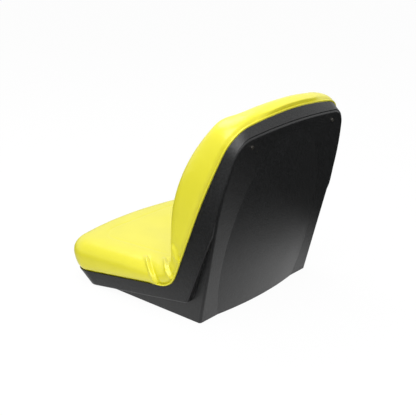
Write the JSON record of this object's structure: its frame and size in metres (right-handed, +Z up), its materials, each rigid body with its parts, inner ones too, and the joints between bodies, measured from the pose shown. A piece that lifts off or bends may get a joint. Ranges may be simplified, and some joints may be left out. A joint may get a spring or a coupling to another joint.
{
  "type": "bucket seat",
  "caption": "High-backed bucket seat for a garden machine: a padded vinyl cushion in a plastic shell, with a crowned rear cover and threaded inserts in its base.",
  "frame": {"origin": "middle of the rectangle of mounting bolts, on the base plane of the shell", "axes": "+X across the seat, -Y the way a seated person faces, +Z up"},
  "size_m": [0.484, 0.5902, 0.521],
  "materials": {
    "vinyl": "satin",
    "plastic": "matte",
    "screw": "satin",
    "insert": "brushed"
  },
  "bodies": {
    "root": {"cushion": "vinyl", "seat_shell": "plastic", "rear_cover": "plastic", "cover_screws": "screw", "skirt_screws": "screw", "mounting_inserts": "insert"}
  },
  "joints": []
}
